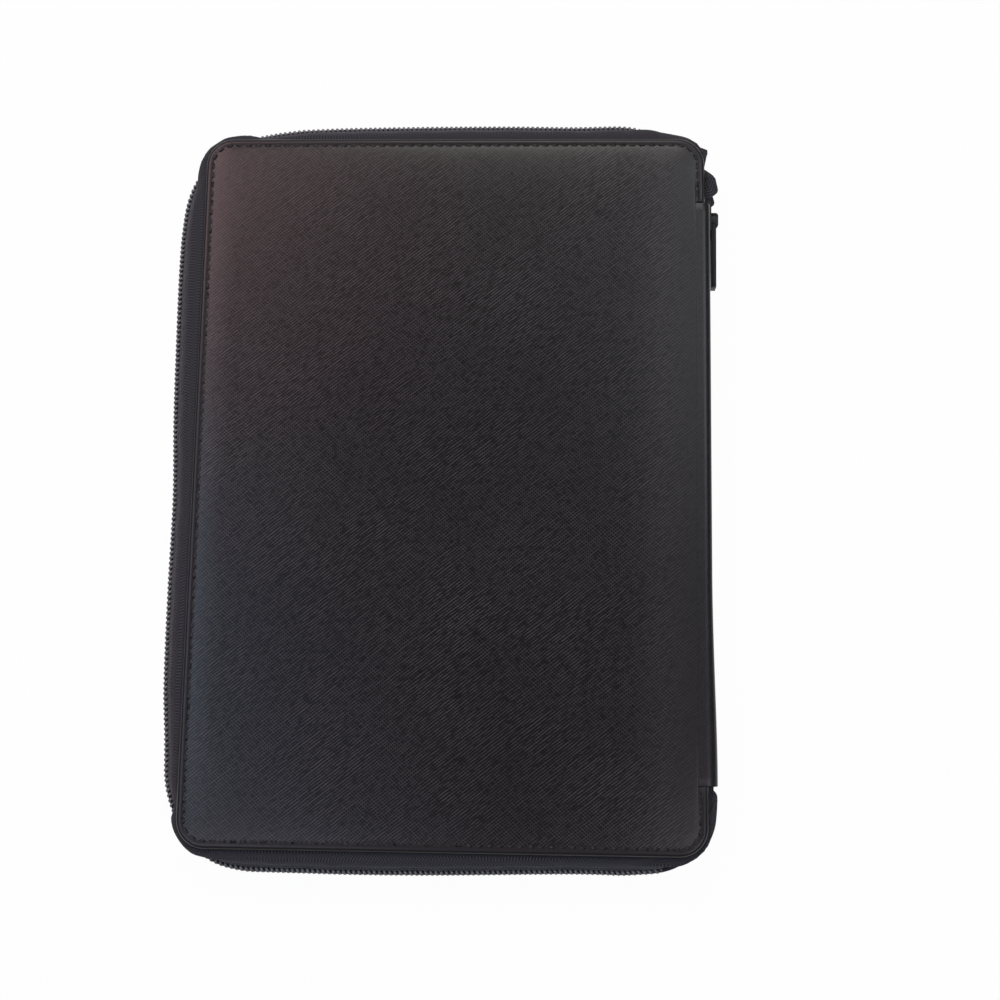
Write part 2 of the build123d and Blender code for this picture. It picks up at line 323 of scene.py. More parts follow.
def newMaterial(name, constants):
    material = bpy.data.materials.new(name)
    material.use_nodes = True
    tree = material.node_tree
    shader = tree.nodes["Principled BSDF"]
    for socket, value in constants.items():
        shader.inputs[socket].default_value = value
    return material, Wire(tree), shader


def makeMaterial(name, look, paint):
    # paint gives what varies over the surface: colour, roughness and the relief's height
    material, wire, shader = newMaterial(name, look["fixed"])
    colour, roughness, height = paint(look, wire)
    relief = wire.node("Bump", {}, {"Height": height, "Distance": look["relief"], "Strength": 1.0})
    for socket, varying in (("Base Color", colour), ("Roughness", roughness), ("Normal", relief)):
        wire.tree.links.new(varying.socket, shader.inputs[socket])
    return material


leatherLook = {
    "dark": (0.0006, 0.0005, 0.0006),
    # light: painted highlight that the grain's ridges catch
    "light": (0.092, 0.085, 0.09),
    "polished": (0.014, 0.0136, 0.014),
    # rim: the grain's mean tone, lightened as painted sheen that the rim's tilted face reflects less of
    "rim": (0.018, 0.0168, 0.0178),
    # Flecked lightening near the edge, partly wear, partly painted highlight along the rounded edge
    "worn": (0.06, 0.058, 0.06),
    "grainTurn": radians(38),
    "crossTurn": radians(-43),
    "linePitch": 0.87 * mm,
    "lineLength": 3.4 * mm,
    "patch": 34 * mm,
    "cloud": 70 * mm,
    "fine": 0.25 * mm,
    "pressedFrom": 16 * mm,
    "pressedTo": 4 * mm,
    "polishedFrom": 30 * mm,
    "polishedTo": 5 * mm,
    "wornTo": 0.9 * mm,
    "roughness": 0.24,
    "relief": 0.014 * mm,
    "fixed": {"Specular IOR Level": 0.24},
}


def strokes(flat, turn, look):
    # Fine parallel ridges that waver a little and break off along their length
    placed = flat.turned(turn, (look["lineLength"], look["linePitch"]))
    across = placed.parts()[1]
    waver = placed.noise(1.0, scale=0.3)
    ridge = ((across + waver * 0.75) * 2 * pi).wave() * 0.5 + 0.5
    broken = placed.noise(2.0, scale=1.2).rise(0.3, 0.62)
    return ridge.rise(0.58, 1.0) * (0.15 + broken * 0.85)


def paintLeather(look, wire):
    flat = wire.flatMap()
    x, y = wire.spot().parts()[:2]
    # Distance in from the cover's rounded edge
    acrossX = abs(x - (freeEdge + flapEdge) / 2) - ((flapEdge - freeEdge) / 2 - cornerRadius)
    acrossY = abs(y) - (halfHeight - cornerRadius)
    outX, outY = acrossX.most(0.0), acrossY.most(0.0)
    squared = outX * outX + outY * outY
    outside = squared.sum("SQRT", squared)
    fromEdge = cornerRadius - outside - acrossX.most(acrossY).least(0.0)
    # Over the fold the grain runs on, with no rim
    nearFold = x.rise(backFold.x - 4.0 * mm, backFold.x - 3.4 * mm)
    overFold = nearFold * (1 - abs(y).rise(spineHalf, spineHalf + 0.3 * mm))
    inside = fromEdge.rise(stitchInset - 0.2 * mm, stitchInset + 0.5 * mm).most(overFold)
    # Lines one way, with fainter ones across them that come and go, both pressed flat near the fold; the
    # lines' light colour is painted highlight on the ridges, and the crossing lines coming and going in
    # patches paints how they catch light from one side
    patches = flat.mottle(look["patch"], turn=0.3)
    pressed = 1 - x.rise(flapEdge - look["pressedFrom"], flapEdge - look["pressedTo"]) * 0.6
    lines = strokes(flat, look["grainTurn"], look)
    crossing = strokes(flat, look["crossTurn"], look) * (0.35 + patches.rise(0.42, 0.62) * 0.55)
    grain = lines.most(crossing) * (0.55 + (1 - patches).rise(0.3, 0.7) * 0.45) * inside * pressed
    fine = flat.mottle(look["fine"], 3.0)
    cloudy = flat.mottle(look["cloud"], 1.0, turn=0.4)
    # Colour lighter towards the fold
    towardsFoldSide = x.rise(flapEdge - look["polishedFrom"], flapEdge - look["polishedTo"])
    ground = towardsFoldSide.blend(look["dark"], look["polished"])
    # Smooth rim outside the seam, in its mean tone lightened by painted sheen
    colour = (1 - inside).blend(ground, look["rim"])
    # Painted highlight on the grain's ridges, stronger and fainter in broad clouds
    lit = (grain * (0.5 + cloudy * 0.6)).blend(colour, look["light"])
    # Flecked lightening within a millimetre of the edge: partly worn leather, partly painted highlight along
    # the rounded edge
    edgeWearAndHighlight = (1 - fromEdge.rise(0.1 * mm, look["wornTo"])) * (1 - overFold)
    worn = (edgeWearAndHighlight * fine * 0.2).blend(lit, look["worn"])
    return worn, look["roughness"] + fine * 0.1, grain + fine * 0.25


threadLook = {
    "dark": (0.003, 0.0024, 0.0026),
    "light": (0.011, 0.0095, 0.01),
    "twist": 0.35 * mm,
    "bandsPerTwist": 1 / 6,
    "relief": 0.05 * mm,
    "fixed": {"Specular IOR Level": 0.4},
}


def paintThread(look, wire):
    plies = wire.node(
        "TexWave",
        {"wave_type": "BANDS", "bands_direction": "DIAGONAL"},
        {"Vector": wire.spot(), "Scale": look["bandsPerTwist"] / look["twist"], "Distortion": 1.0},
    )
    return plies.blend(look["dark"], look["light"]), 0.5 + plies * 0.2, plies


tapeLook = {
    "dark": (0.009, 0.0095, 0.0115),
    "light": (0.046, 0.047, 0.054),
    "rib": 0.95 * mm,
    "zigzag": 1.4 * mm,
    "fibre": 0.3 * mm,
    "relief": 0.12 * mm,
    "fixed": {"Specular IOR Level": 0.3, "Sheen Weight": 0.15},
}


def paintTapeCloth(look, wire):
    # Herringbone tape: slanting ribs that change side every few threads
    along, across = wire.flatMap().parts()[:2]
    turn = 2 * pi / look["rib"]
    zigzag = across.sum("PINGPONG", across, look["zigzag"])
    ribs = (along * turn + zigzag * turn * 0.9).wave() * 0.5 + 0.5
    fibres = wire.spot().mottle(look["fibre"], 3.0)
    cloth = ribs * (0.6 + fibres * 0.8)
    return cloth.blend(look["dark"], look["light"]), 0.75 + fibres * 0.2, cloth


coilLook = {
    # Both colours are far lighter than the dark nylon: painted highlight that the loops catch
    "dark": (0.085, 0.086, 0.092),
    "light": (0.19, 0.19, 0.2),
    "streak": 0.4 * mm,
    "relief": 0.02 * mm,
    "fixed": {"Specular IOR Level": 0.6, "Coat Roughness": 0.2},
}


def paintNylon(look, wire):
    # Grey colour paints the highlights on the dark loops, varied in fine streaks
    streaks = wire.spot().mottle(look["streak"])
    return streaks.blend(look["dark"], look["light"]), 0.22 + streaks * 0.2, streaks


metalLook = {
    "paint": (0.009, 0.0095, 0.0115),
    "bare": (0.11, 0.108, 0.108),
    "rub": 2.2 * mm,
    "grit": 0.25 * mm,
    "relief": 0.02 * mm,
    "fixed": {"Metallic": 0.25, "Specular IOR Level": 0.4},
}


def paintBlackMetal(look, wire):
    # Black-plated zinc, rubbed thin here and there
    where = wire.spot()
    rubbed = where.mottle(look["rub"], 6.0, 0.7).rise(0.58, 0.72)
    grit = where.mottle(look["grit"], turn=0.3)
    colour = (rubbed * 0.35).blend(look["paint"], look["bare"])
    return colour, 0.4 + grit * 0.18 + rubbed * 0.08, grit


# Dark, light, pitch of the threads, and how far a row steps sideways
wovenThreads = {
    "liningTwill": ((0.009, 0.009, 0.0095), (0.034, 0.034, 0.037), 0.55 * mm, 1.0),
    "bindingCloth": ((0.006, 0.006, 0.0065), (0.03, 0.03, 0.03), 0.45 * mm, 0.0),
    "ribbedElastic": ((0.006, 0.006, 0.006), (0.036, 0.036, 0.038), 0.9 * mm, 0.0),
}
wovenLook = {
    "fibre": 0.2 * mm,
    "relief": 0.1 * mm,
    "fixed": {"Specular IOR Level": 0.3, "Sheen Weight": 0.12},
}


def paintWoven(look, wire):
    # Warp and weft that pass over each other, stepped sideways each row where the cloth is a twill
    dark, light, pitch, slant = look["threads"]
    flat = wire.flatMap()
    along, across = flat.parts()[:2]
    turn = pi / pitch
    warp, weft = abs((along * turn).wave()), abs((across * turn).wave())
    stepped = ((along + across * slant) * turn * 0.5).wave()
    over = stepped * ((across - along * slant) * turn * 0.5).wave()
    crossed = over.rise(-0.3, 0.3)
    fibres = flat.mottle(look["fibre"], 3.0)
    cloth = (crossed * warp + (1 - crossed) * weft) * (0.6 + fibres * 0.7)
    return cloth.blend(dark, light), 0.7 + fibres * 0.25, cloth


smoothLook = {
    "dark": (0.011, 0.0105, 0.0108),
    "light": (0.03, 0.029, 0.03),
    "pebble": 0.9 * mm,
    "fine": 0.2 * mm,
    "cloud": 30 * mm,
    "relief": 0.05 * mm,
    "fixed": {"Specular IOR Level": 0.4},
}


def paintSmoothLeather(look, wire):
    # Soft pebbled leatherette for the pockets
    where = wire.spot()
    cells = where.turned(0.0, (look["pebble"], look["pebble"]))
    pebbles = wire.node(
        "TexVoronoi", {"feature": "SMOOTH_F1"}, {"Vector": cells, "Scale": 1.0, "Smoothness": 0.5}
    )
    fine = where.mottle(look["fine"], 3.0)
    cloudy = where.mottle(look["cloud"])
    colour = (pebbles * 0.5 + cloudy * 0.4).blend(look["dark"], look["light"])
    return colour, 0.42 + fine * 0.2, 1 - pebbles + fine * 0.2


paperLook = {
    "sheet": (0.80, 0.78, 0.70),
    "aged": (0.70, 0.66, 0.56),
    "rule": (0.33, 0.42, 0.55),
    "margin": (0.60, 0.25, 0.24),
    "ruleGap": 7.1 * mm,
    "ruleWidth": 0.16 * mm,
    "marginFrom": 25 * mm,
    "headRoom": 27 * mm,
    "fibre": 0.5 * mm,
    "relief": 0.02 * mm,
    "fixed": {"Specular IOR Level": 0.25},
}


def paintPaper(look, wire):
    # Ruled sheets: faint lines on the faces, and on the edges the stack's layers as painted shade lines
    # between the sheets
    where = wire.spot()
    x, y, z = where.parts()
    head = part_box("notepad_sheets")[1]
    facing = abs(wire.node("NewGeometry", out=1).parts()[2]).rise(0.6, 0.8)
    fromHead = head.y - look["headRoom"] - y
    offRule = fromHead.sum("PINGPONG", fromHead, look["ruleGap"] / 2)
    rules = (1 - offRule.rise(look["ruleWidth"] * 0.4, look["ruleWidth"])) * fromHead.rise(-1 * mm, 0.0)
    offMargin = abs(x - (head.x - look["marginFrom"]))
    margin = 1 - offMargin.rise(look["ruleWidth"] * 0.4, look["ruleWidth"])
    fibres = where.mottle(look["fibre"], 4.0)
    # Painted shade between the sheets on the stack's edges
    sheetGapShade = (z * (2 * pi / sheetPitch)).wave() * 0.5 + 0.5
    plain = (fibres * 0.4 + (1 - facing) * sheetGapShade * 0.6).blend(look["sheet"], look["aged"])
    ruled = (rules * facing * 0.8).blend(plain, look["rule"])
    colour = (margin * facing * 0.8).blend(ruled, look["margin"])
    return colour, 0.8 + fibres * 0.15, fibres


cardLook = {
    "dark": (0.21, 0.19, 0.165),
    "light": (0.36, 0.33, 0.29),
    "pulp": 1.5 * mm,
    "relief": 0.04 * mm,
    "fixed": {"Specular IOR Level": 0.25},
}


def paintCard(look, wire):
    # Grey pressed card with flecks
    pulp = wire.spot().mottle(look["pulp"], 5.0, 0.7)
    return pulp.blend(look["dark"], look["light"]), 0.85 + pulp * 0.1, pulp


leather = makeMaterial("crossGrainLeather", leatherLook, paintLeather)
thread = makeMaterial("sewingThread", threadLook, paintThread)
tapeCloth = makeMaterial("zipTapeCloth", tapeLook, paintTapeCloth)
nylon = makeMaterial("coilNylon", coilLook, paintNylon)
blackMetal = makeMaterial("blackMetal", metalLook, paintBlackMetal)
lining, bindingCloth, elastic = [
    makeMaterial(name, {**wovenLook, "threads": threads}, paintWoven)
    for name, threads in wovenThreads.items()
]
smoothLeather = makeMaterial("smoothLeather", smoothLook, paintSmoothLeather)
paper = makeMaterial("ruledPaper", paperLook, paintPaper)
card = makeMaterial("greyCard", cardLook, paintCard)
print("materials made")


def unroll(p):
    # Place on the one sheet of leather that goes over back cover, spine and front cover
    up = max(p.z, thickness - p.z)
    if p.x <= backFold.x:
        along = p.x
    elif up >= backFold.z:
        along = backFold.x + foldRadius * atan2(p.x - backFold.x, up - backFold.z)
    else:
        along = backFold.x + foldArc + backFold.z - up
    spineMiddle = backFold.x + foldArc + backFold.z - midHeight
    return (along if p.z >= midHeight else 2 * spineMiddle - along, p.y)


coverSizes = {
    "cornerSteps": 12,
    "edgeRound": 1.2 * mm,
    "edgeSteps": 4,
    "innerRound": 0.4 * mm,
    "innerSteps": 2,
    "foldStrip": 2.75 * mm,
    "slit": 0.1 * mm,
    "rimBlend": 3.0 * mm,
}
# Padding: millimetres in from the edge, millimetres that the leather lies lower there, least far in,
# most under the seam; the cuts give the padding enough points, closer together near the edge
coverPad = [
    (0, 0.5), (1.2, 0.42), (1.9, 0.43), (2.6, 0.54), (3.3, 0.44), (5, 0.3), (9, 0.14), (15, 0.03), (20, 0.0),
]
padCuts = [1.25, 1.6, 1.95, 2.25, 2.6, 2.95, 3.35, 4.0, 5.0, 6.2, 7.6, 9.5, 12.0, 15.5]
padStep = 12 * mm


def offLine(table, along):
    # Smooth line through a table of millimetres along and millimetres off
    spot = along / mm
    for index, ((before, low), (after, high)) in enumerate(zip(table, table[1:])):
        if before <= spot < after:
            first, start = table[max(index - 1, 0)]
            last, finish = table[min(index + 2, len(table) - 1)]
            span = after - before
            leaving = span * (high - start) / (after - first)
            arriving = span * (finish - low) / (last - before)
            t = (spot - before) / span
            level = low + (high - low) * eased(t) + leaving * t * (1 - t) ** 2 - arriving * t * t * (1 - t)
            return level * mm
    return 0.0


def eased(share):
    share = min(max(share, 0.0), 1.0)
    return share * share * (3 - 2 * share)


def fromRim(x, y):
    # Distance in from the cover's rounded edge, with no edge where the leather runs on over the fold
    radius = cornerRadius
    left, right = radius - (x - freeEdge), radius - (flapEdge - x)
    right = right * eased((abs(y) - spineHalf + coverSizes["rimBlend"]) / coverSizes["rimBlend"])
    outX, outY = max(left, right), abs(y) - (halfHeight - radius)
    return radius - Vector((max(outX, 0.0), max(outY, 0.0))).length - min(max(outX, outY), 0.0)


def padOut(cover, outer, inner):
    # Cuts the cover across and along, then lowers its outer face towards the edge
    startEdit(cover)
    for axis, low, high in ((0, freeEdge, flapEdge), (1, -halfHeight, halfHeight)):
        steps = int((high - low) / padStep)
        cuts = [low + (high - low) * step / steps for step in range(2, steps - 1)]
        for cut in padCuts:
            cuts += [low + cut * mm, high - cut * mm]
        for cut in cuts:
            bpy.ops.mesh.select_all(action="SELECT")
            spot = [(cut if side == axis else 0.0) for side in range(3)]
            bpy.ops.mesh.bisect(plane_co=spot, plane_no=[float(side == axis) for side in range(3)])
    endEdit()
    up = 1 if outer > inner else -1
    for vertex in cover.data.vertices:
        if abs(vertex.co.z - outer) < coverSizes["edgeRound"] + 0.05 * mm:
            vertex.co.z -= up * offLine(coverPad, max(fromRim(vertex.co.x, vertex.co.y), 0.0))


def makeCover(name, outer, inner, body, replaced):
    # Board wrapped in leather, cut back where the leather runs on over the fold
    sizes = coverSizes
    low, high = min(outer, inner), max(outer, inner)
    cover = addBlock(name, (freeEdge, -halfHeight, low), (flapEdge, halfHeight, high))
    roundEdges(cover, lambda a, b: abs(a.z - b.z) > mm, cornerRadius, sizes["cornerSteps"])
    recess = backFold.x - sizes["foldStrip"]
    notch = spineHalf + sizes["slit"]
    cutOut(cover, (recess, -notch, low - mm), (flapEdge + mm, notch, high + mm))

    def onRim(level):
        return lambda a, b: (
            near(a.z, level) and near(b.z, level) and not (near(a.x, recess) and near(b.x, recess))
        )

    roundEdges(cover, onRim(outer), sizes["edgeRound"], sizes["edgeSteps"])
    roundEdges(cover, onRim(inner), sizes["innerRound"], sizes["innerSteps"])
    padOut(cover, outer, inner)
    mapFlat(cover, unroll)
    finishPiece(cover, leather, body, replaced)


backNodes, frontNodes = [
    [side + layer for layer in ("_skin", "_foam", "_board")] for side in ("back", "front")
]
makeCover("backCover", thickness, thickness - coverEdge, "back_cover", backNodes)
makeCover("frontCover", 0.0, coverEdge, "front_cover", frontNodes)
print("covers made")

foldSizes = {
    "lengthSteps": 60,
    "widthSteps": 20,
    "skin": 1.0 * mm,
    "endRound": 0.35 * mm,
    "endEdge": 0.9 * mm,
    "pastFoot": 0.9 * mm,
    "flare": 1.5 * mm,
    "flareFrom": -30 * mm,
    "flareSpread": 1.6,
}


def makeFold(name, axis, up):
    # Leather from the cover's edge over the fold to the middle of the spine, a little wider at its foot
    sizes = foldSizes
    strip = coverSizes["foldStrip"]
    total = strip + foldArc + up * (axis.z - midHeight)
    foot = spineHalf + sizes["pastFoot"]

    def place(u, v):
        y = -foot + u * (spineHalf + foot)
        along = v * total - strip
        turn = min(max(along / foldRadius, 0.0), pi / 2)
        x = axis.x + min(along, 0.0) + foldRadius * sin(turn)
        z = axis.z + up * (foldRadius * cos(turn) - max(along - foldArc, 0.0))
        flare = sizes["flare"] * eased((sizes["flareFrom"] - y) / (spineHalf + sizes["flareFrom"]))
        return Vector((x + flare * eased(v * sizes["flareSpread"]), y, z))

    fold = addGrid(name, sizes["lengthSteps"], sizes["widthSteps"], place)
    outwards(fold)
    if fold.data.polygons[0].normal.z * up < 0:
        fold.data.flip_normals()
    useModifier(fold, "SOLIDIFY", thickness=sizes["skin"], offset=-1)

    def atEnd(a, b):
        onEnd = near(a.y, b.y) and (near(a.y, spineHalf) or near(a.y, -foot))
        return onEnd and (a - b).length < sizes["endEdge"]

    roundEdges(fold, atEnd, sizes["endRound"], 2)
    mapFlat(fold, unroll)
    finishPiece(fold, leather, None, ("spine_skin",))
    outer = thickness if up > 0 else 0
    blendToCover(fold, up, (spineFace, 0, axis.z), (axis.x, 0, outer))


makeFold("backFoldLeather", backFold, 1)
makeFold("frontFoldLeather", frontFold, -1)
print("spine leather made")

coverSeam = {
    "inset": stitchInset,
    "pitch": 3.3 * mm,
    "length": 2.1 * mm,
    "width": 0.8 * mm,
    "height": 0.5 * mm,
    "sunk": 0.3 * mm,
    "startPast": 1.6 * mm,
}
pocketSeam = {
    "inset": 1.25 * mm,
    "pitch": 2.8 * mm,
    "length": 1.9 * mm,
    "width": 0.45 * mm,
    "height": 0.34 * mm,
    "sunk": 0.2 * mm,
}


roundHandle = 0.5523  # length of a Bezier handle on a quarter circle of radius 1


def roundedPath(name, places, radius, level):
    # Bezier line through places, each place between the ends being a round corner
    line = bpy.data.curves.new(name, "CURVE")
    line.dimensions = "3D"
    line.twist_mode = "Z_UP"
    line.resolution_u = 16
    spots = [(Vector(places[0]), Vector((0, 0)))]
    for before, corner, after in zip(places, places[1:], places[2:]):
        corner = Vector(corner)
        inwards = (Vector(before) - corner).normalized()
        onwards = (Vector(after) - corner).normalized()
        handle = roundHandle * radius
        spots.append((corner + inwards * radius, -inwards * handle))
        spots.append((corner + onwards * radius, onwards * handle))
    spots.append((Vector(places[-1]), Vector((0, 0))))
    spline = line.splines.new("BEZIER")
    spline.bezier_points.add(len(spots) - 1)
    for point, (spot, pull) in zip(spline.bezier_points, spots):
        point.co = (*spot, level)
        point.handle_left_type = point.handle_right_type = "FREE"
        point.handle_left = (*(spot - pull), level)
        point.handle_right = (*(spot + pull), level)
    return addObject(name, line)


def sewAlong(name, path, up, sizes, body):
    # One stitch, repeated along the path
    gap = (sizes["pitch"] - sizes["length"]) / 2
    lift = up * (sizes["height"] / 2 - sizes["sunk"])
    stitch = addBlock(
        name,
        (gap, -sizes["width"] / 2, lift - sizes["height"] / 2),
        (gap + sizes["length"], sizes["width"] / 2, lift + sizes["height"] / 2),
    )
    roundEdges(stitch, lambda a, b: near(a.x, b.x), sizes["height"] * 0.4, 1)
    repeat(stitch, (sizes["pitch"], 0, 0), fit_type="FIT_CURVE", curve=path)
    useModifier(stitch, "CURVE", object=path, deform_axis="POS_X")
    bpy.data.objects.remove(path)
    finishPiece(stitch, thread, body, angle=60)


def sewCover(name, outer, up, body):
    sizes = coverSeam
    right, left = flapEdge - sizes["inset"], freeEdge + sizes["inset"]
    top = halfHeight - sizes["inset"]
    start = spineHalf + sizes["startPast"]
    places = [(right, start), (right, top), (left, top), (left, -top), (right, -top), (right, -start)]
    level = outer - up * offLine(coverPad, sizes["inset"])
    path = roundedPath(name + "Path", places, cornerRadius - sizes["inset"], level)
    sewAlong(name, path, up, sizes, body)


sewCover("backCoverStitches", thickness, 1, "back_cover")
sewCover("frontCoverStitches", 0.0, -1, "front_cover")
print("cover stitches made")

chainSizes = {
    "reach": 7.0 * mm,
    "bow": 1.2 * mm,
    "fromSpine": 1.4 * mm,
    "startAngle": radians(22.5),
}
# How the soft chain lies off its even line, and how far its tape billows past the coil at the
# corners: millimetres along the chain, millimetres outward
chainSway = [
    (10, 0.0), (27, 1.1), (36, 0.7), (50, -0.1), (66, -0.3), (104, -0.6), (144, -0.7), (157, -1.6),
    (172, -0.6), (188, 1.2), (195, 1.6), (212, 2.5), (250, 1.8), (273, 1.2), (300, 0.1), (331, 0.5),
    (364, 0.7), (382, -0.1), (402, -0.1), (423, 1.5), (433, 1.0), (450, 0.5), (469, 0.2), (518, -0.7),
    (535, -0.8), (546, -0.6), (556, 0.0), (562, 0.9), (566, 2.1), (570, 3.5), (574, 4.5), (578, 4.8),
    (584, 4.0), (590, 2.8), (601, 1.3), (613, 0.0),
]
tapeBillow = [
    (-14, 5.6), (-9, 6.8), (-5, 5.0), (0, 3.1), (4, 5.6), (7, 7.6), (10, 6.4), (14, 6.5), (18, 4.9),
    (22, 3.2), (28, 1.6), (34, 0.2), (40, 0.0),
    (152, 0.0), (158, 0.5), (164, 3.0), (170, 4.7), (174, 4.9), (178, 5.0), (183, 3.8), (187, 1.9),
    (193, 0.0),
    (396, 0.0), (402, 0.8), (406, 3.1), (411, 3.8), (415, 3.8), (419, 3.5), (424, 1.6), (433, 0.0),
    (562, 0.0), (566, 0.3), (570, 1.5), (574, 2.6), (578, 3.4), (582, 4.2), (586, 4.4), (590, 4.4),
    (596, 3.6), (602, 3.1), (613, 0.0),
]


def chainArcs():
    # Zip chain from the spine's top corner round to its bottom corner: centre, radius, start, sweep
    sizes = chainSizes
    bow, start = sizes["bow"], sizes["startAngle"]
    radius = spineFace - sizes["fromSpine"] - zipCorner.x
    farX = freeEdge - sizes["reach"] + bow + radius

    def bowed(halfSpan):
        drop = (halfSpan**2 - bow**2) / (2 * bow)
        return drop, radius + drop + bow, atan2(halfSpan, drop)

    endDrop, endRadius, endLean = bowed((zipCorner.x - farX) / 2)
    sideDrop, sideRadius, sideLean = bowed(zipCorner.y)
    middle = (zipCorner.x + farX) / 2
    quarter = pi / 2
    return [
        (zipCorner.x, zipCorner.y, radius, start, quarter - endLean - start),
        (middle, zipCorner.y - endDrop, endRadius, quarter - endLean, 2 * endLean),
        (farX, zipCorner.y, radius, quarter + endLean, quarter - endLean - sideLean),
        (farX + sideDrop, 0.0, sideRadius, pi - sideLean, 2 * sideLean),
        (farX, -zipCorner.y, radius, pi + sideLean, quarter - endLean - sideLean),
        (middle, endDrop - zipCorner.y, endRadius, 3 * quarter - endLean, 2 * endLean),
        (zipCorner.x, -zipCorner.y, radius, 3 * quarter + endLean, quarter - endLean - start),
    ]


chain = chainArcs()
chainLength = sum(arc[2] * arc[4] for arc in chain)


def chainSpot(along):
    # Arc number, share of that arc, place and outward direction at a distance along the chain
    left = along
    for number, (x, y, radius, start, sweep) in enumerate(chain):
        if left <= radius * sweep or number == len(chain) - 1:
            angle = start + left / radius
            past = max(angle - 2 * pi, 0.0) + min(angle, 0.0)
            out = Vector((cos(angle - past), sin(angle - past), 0))
            spot = Vector((x, y + past * radius, 0)) + out * (radius + offLine(chainSway, along))
            return number, left / (radius * sweep), spot, out
        left -= radius * sweep


tapeSizes = {
    "seamInset": 2.75 * mm,
    "seamCorner": 12.25 * mm,
    "cloth": 0.5 * mm,
    "width": 13 * mm,
    "leastFlat": 0.2 * mm,
    "behindCoil": 1.0 * mm,
    "lean": 1.0 * mm,
    "leanUntil": 2.0 * mm,
    "turnRadius": 2.4 * mm,
    "pastCoil": 1.7 * mm,
    "lengthSteps": 400,
    "widthSteps": 22,
    "flatRise": 0.4 * mm,
    "overSlider": 5.0 * mm,
    "pastEnd": 9.0 * mm,
    "beforeStart": 8.0 * mm,
    "rippleLength": 17 * mm,
    "ripple": 0.12 * mm,
}


def seamSpot(number, share):
    # Point of the sewn edge that lies opposite a share of one of the chain's arcs
    sizes = tapeSizes
    radius = sizes["seamCorner"]
    right, left = flapEdge - sizes["seamInset"] - radius, freeEdge + sizes["seamInset"] + radius
    top = halfHeight - sizes["seamInset"] - radius
    corners = [(right, top), (left, top), (left, -top), (right, -top)]
    starts = [chainSizes["startAngle"], pi / 2, pi, 3 * pi / 2]
    ends = [pi / 2, pi, 3 * pi / 2, 2 * pi - chainSizes["startAngle"]]

    def onCorner(index, part):
        angle = starts[index] + part * (ends[index] - starts[index])
        return Vector((*corners[index], 0)) + radius * Vector((cos(angle), sin(angle), 0))

    index = number // 2
    if number % 2 == 0:
        return onCorner(index, share)
    return onCorner(index, 1.0).lerp(onCorner(index + 1, 0.0), share)


def mapGrid(piece, length, width):
    # UV map in metres along and across a strip made by addGrid
    flat = piece.data.uv_layers.new(name="flat")
    for corner, spot in zip(flat.data, piece.data.uv_layers[0].data):
        corner.uv = (spot.uv[0] * length, spot.uv[1] * width)


def addCloth(name, sizes, place, length, width):
    # Strip of cloth whose points go where place(u, v) says
    cloth = addGrid(name, sizes["lengthSteps"], sizes["widthSteps"], place)
    mapGrid(cloth, length, width)
    useModifier(cloth, "SOLIDIFY", thickness=sizes["cloth"], offset=0)
    return cloth


def makeTape(name, seamLevel, coilLevel, body, node):
    # Tape that comes out flat from under the cover, turns and runs behind the coil
    sizes = tapeSizes
    up = 1 if coilLevel > seamLevel else -1
    radius = sizes["turnRadius"]
    wall = abs(coilLevel - seamLevel) + sizes["pastCoil"] - radius
    bend = radius * pi / 2
    length = sizes["beforeStart"] + chainLength + sizes["pastEnd"]

    def place(u, v):
        along = u * length - sizes["beforeStart"]
        number, share, spot, out = chainSpot(along)
        seam = seamSpot(number, share)
        billow = offLine(tapeBillow, along)
        lean = sizes["lean"] * max(1 - billow / sizes["leanUntil"], 0.0)
        behind = spot - out * (sizes["behindCoil"] + lean)
        flat = max((behind - seam).dot(out) - radius, sizes["leastFlat"])
        run = v * (flat + bend + wall)
        turn = min(max((run - flat) / radius, 0.0), pi / 2)
        outward = min(run, flat) + radius * sin(turn)
        rise = radius * (1 - cos(turn)) + max(run - flat - bend, 0.0)
        point = seam.lerp(behind, outward / (flat + radius))
        point.z = seamLevel + up * rise
        ripple = sin(along / sizes["rippleLength"] * 2 * pi) * sizes["ripple"]
        leaning = lean * min(max(run - flat - bend, 0.0) / (wall - sizes["pastCoil"]), 1.0)
        # The billow folds back in above the slider's way
        foldedAt = abs(midHeight - seamLevel) - sizes["overSlider"]
        folded = (rise - sizes["flatRise"]) / (foldedAt - sizes["flatRise"])
        bulge = eased(run / flat) * (1 - eased(folded))
        return point + out * (ripple * sin(v * pi) + billow * bulge + leaning)

    tape = addCloth(name, sizes, place, length, sizes["width"])
    finishPiece(tape, tapeCloth, body, (node,))


tapeLift = tapeSizes["cloth"] / 2
backCoilLow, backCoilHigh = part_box("back_zip_coil")
frontCoilLow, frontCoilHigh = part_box("front_zip_coil")
backSeam, frontSeam = thickness - coverEdge - tapeLift, coverEdge + tapeLift
makeTape("backZipTape", backSeam, backCoilHigh.z, "back_cover", "back_zip_tape")
makeTape("frontZipTape", frontSeam, frontCoilLow.z, "front_cover", "front_zip_tape")
print("zip tapes made")

coilSizes = {
    "pitch": 1.67 * mm,
    "wire": 0.5 * mm,
    "endGap": 20 * mm,
    "stepsPerTurn": 14,
    "depth": 1.0 * mm,
    "squareness": 0.72,
    "core": 0.76 * mm,
    "cordSteps": 360,
    "sides": 8,
}


def makeTube(name, points, radius, sides):
    # Round wire through the points, turned into a mesh
    line = bpy.data.curves.new(name, "CURVE")
    line.dimensions = "3D"
    line.bevel_depth = radius
    line.bevel_resolution = (sides - 4) // 2
    line.use_fill_caps = True
    spline = line.splines.new("POLY")
    spline.points.add(len(points) - 1)
    for point, spot in zip(spline.points, points):
        point.co = (*spot, 1)
    tube = addObject(name, line)
    deselectAll()
    tube.select_set(True)
    bpy.context.view_layer.objects.active = tube
    bpy.ops.object.convert(target="MESH")
    return bpy.context.object


